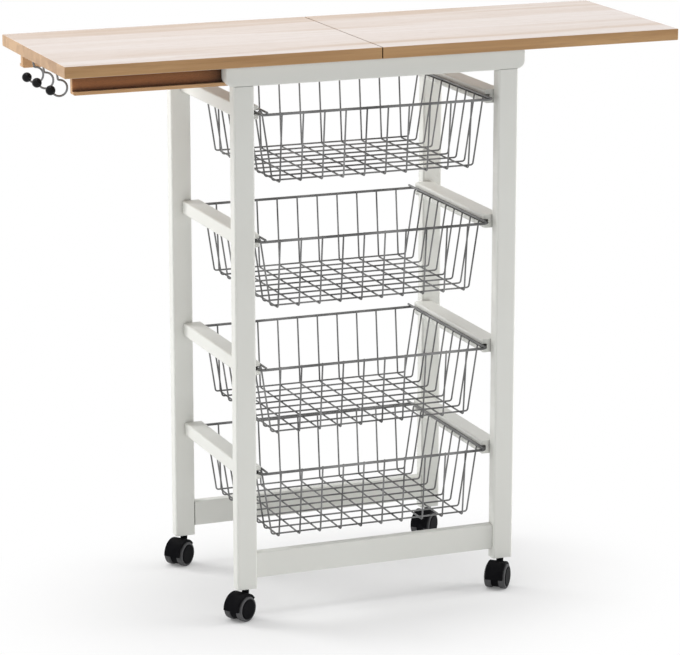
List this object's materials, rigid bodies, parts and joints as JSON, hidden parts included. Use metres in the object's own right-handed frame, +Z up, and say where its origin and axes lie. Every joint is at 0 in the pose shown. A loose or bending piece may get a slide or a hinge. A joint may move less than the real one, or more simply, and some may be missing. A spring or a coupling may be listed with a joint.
{
  "type": "kitchen trolley",
  "caption": "Tall narrow kitchen trolley on casters: white frame, sliding wire baskets, and a wooden worktop that draws out and folds in half, with ball-ended hooks at one end.",
  "frame": {"origin": "on the floor, midway between the legs", "axes": "+X to the right along the worktop, away from the hooks; +Y from the front to the back; +Z up"},
  "size_m": [0.9487, 0.331, 0.8317],
  "materials": {
    "white_lacquer": "white satin lacquer over solid wood",
    "dowel_beech": "raw beech",
    "worktop_wood": "light planked wood, satin",
    "runner_wood": "oiled light wood",
    "basket_wire": "grey coated steel wire",
    "hook_chrome": "dark plated wire",
    "ball_black": "glossy black",
    "caster_black": "black moulded, fine grain",
    "wheel_plastic": "black disc with a grey tread",
    "zinc_steel": "plain zinc plated"
  },
  "bodies": {
    "frame": {"leg_front_left": "white_lacquer", "leg_front_right": "white_lacquer", "leg_back_left": "white_lacquer", "leg_back_right": "white_lacquer", "apron_front": "white_lacquer", "apron_back": "white_lacquer", "stretcher_front": "white_lacquer", "stretcher_back": "white_lacquer", "rail_left_1": "white_lacquer", "rail_left_2": "white_lacquer", "rail_left_3": "white_lacquer", "rail_left_4": "white_lacquer", "rail_right_1": "white_lacquer", "rail_right_2": "white_lacquer", "rail_right_3": "white_lacquer", "rail_right_4": "white_lacquer", "rail_dowels": "dowel_beech", "stretcher_dowels": "dowel_beech", "apron_dowels": "dowel_beech", "caster_stems": "zinc_steel", "caster_sockets": "zinc_steel"},
    "worktop": {"leaf_sliding": "worktop_wood", "hinge_barrels_left": "zinc_steel", "runner_front": "runner_wood", "runner_back": "runner_wood", "runner_screws": "zinc_steel", "hooks": "hook_chrome", "hook_balls": "ball_black"},
    "folding_leaf": {"leaf_folding": "worktop_wood", "hinge_barrels_right": "zinc_steel"},
    "basket_1": {"basket_1_rim": "basket_wire", "basket_1_long_wires": "basket_wire", "basket_1_cross_wires": "basket_wire"},
    "basket_2": {"basket_2_rim": "basket_wire", "basket_2_long_wires": "basket_wire", "basket_2_cross_wires": "basket_wire"},
    "basket_3": {"basket_3_rim": "basket_wire", "basket_3_long_wires": "basket_wire", "basket_3_cross_wires": "basket_wire"},
    "basket_4": {"basket_4_rim": "basket_wire", "basket_4_long_wires": "basket_wire", "basket_4_cross_wires": "basket_wire"},
    "caster_front_left": {"hood_front_left": "caster_black", "axle_front_left": "zinc_steel"},
    "wheel_front_left_near": {"wheel_front_left_near": "wheel_plastic"},
    "wheel_front_left_far": {"wheel_front_left_far": "wheel_plastic"},
    "caster_front_right": {"hood_front_right": "caster_black", "axle_front_right": "zinc_steel"},
    "wheel_front_right_near": {"wheel_front_right_near": "wheel_plastic"},
    "wheel_front_right_far": {"wheel_front_right_far": "wheel_plastic"},
    "caster_back_left": {"hood_back_left": "caster_black", "axle_back_left": "zinc_steel"},
    "wheel_back_left_near": {"wheel_back_left_near": "wheel_plastic"},
    "wheel_back_left_far": {"wheel_back_left_far": "wheel_plastic"},
    "caster_back_right": {"hood_back_right": "caster_black", "axle_back_right": "zinc_steel"},
    "wheel_back_right_near": {"wheel_back_right_near": "wheel_plastic"},
    "wheel_back_right_far": {"wheel_back_right_far": "wheel_plastic"}
  },
  "joints": [
    {"name": "worktop_slide", "type": "slide", "parent": "frame", "child": "worktop", "axis": [1, 0, 0], "range_m": [0, 0.235]},
    {"name": "leaf_fold", "type": "hinge", "parent": "worktop", "child": "folding_leaf", "pos_m": [0.0032, 0, 0.8319], "axis": [0, -1, 0], "range_deg": [0, 180]},
    {"name": "basket_1_slide", "type": "slide", "parent": "frame", "child": "basket_1", "axis": [0, -1, 0], "range_m": [-0.01, 0.21]},
    {"name": "basket_2_slide", "type": "slide", "parent": "frame", "child": "basket_2", "axis": [0, -1, 0], "range_m": [0, 0.22]},
    {"name": "basket_3_slide", "type": "slide", "parent": "frame", "child": "basket_3", "axis": [0, -1, 0], "range_m": [0, 0.22]},
    {"name": "basket_4_slide", "type": "slide", "parent": "frame", "child": "basket_4", "axis": [0, -1, 0], "range_m": [0, 0.22]},
    {"name": "swivel_front_left", "type": "hinge", "parent": "frame", "child": "caster_front_left", "pos_m": [-0.2035, -0.139, 0.0437], "axis": [0, 0, 1], "continuous": true},
    {"name": "spin_front_left_near", "type": "hinge", "parent": "caster_front_left", "child": "wheel_front_left_near", "pos_m": [-0.21452, -0.14589, 0.0185], "axis": [-0.5299, 0.848, 0], "continuous": true},
    {"name": "spin_front_left_far", "type": "hinge", "parent": "caster_front_left", "child": "wheel_front_left_far", "pos_m": [-0.21452, -0.14589, 0.0185], "axis": [-0.5299, 0.848, 0], "continuous": true},
    {"name": "swivel_front_right", "type": "hinge", "parent": "frame", "child": "caster_front_right", "pos_m": [0.2035, -0.139, 0.0437], "axis": [0, 0, 1], "continuous": true},
    {"name": "spin_front_right_near", "type": "hinge", "parent": "caster_front_right", "child": "wheel_front_right_near", "pos_m": [0.19514, -0.14896, 0.0185], "axis": [-0.766, 0.6428, 0], "continuous": true},
    {"name": "spin_front_right_far", "type": "hinge", "parent": "caster_front_right", "child": "wheel_front_right_far", "pos_m": [0.19514, -0.14896, 0.0185], "axis": [-0.766, 0.6428, 0], "continuous": true},
    {"name": "swivel_back_left", "type": "hinge", "parent": "frame", "child": "caster_back_left", "pos_m": [-0.2035, 0.139, 0.0437], "axis": [0, 0, 1], "continuous": true},
    {"name": "spin_back_left_near", "type": "hinge", "parent": "caster_back_left", "child": "wheel_back_left_near", "pos_m": [-0.21374, 0.131, 0.0185], "axis": [-0.6157, 0.788, 0], "continuous": true},
    {"name": "spin_back_left_far", "type": "hinge", "parent": "caster_back_left", "child": "wheel_back_left_far", "pos_m": [-0.21374, 0.131, 0.0185], "axis": [-0.6157, 0.788, 0], "continuous": true},
    {"name": "swivel_back_right", "type": "hinge", "parent": "frame", "child": "caster_back_right", "pos_m": [0.2035, 0.139, 0.0437], "axis": [0, 0, 1], "continuous": true},
    {"name": "spin_back_right_near", "type": "hinge", "parent": "caster_back_right", "child": "wheel_back_right_near", "pos_m": [0.19399, 0.13013, 0.0185], "axis": [-0.682, 0.7314, 0], "continuous": true},
    {"name": "spin_back_right_far", "type": "hinge", "parent": "caster_back_right", "child": "wheel_back_right_far", "pos_m": [0.19399, 0.13013, 0.0185], "axis": [-0.682, 0.7314, 0], "continuous": true}
  ]
}
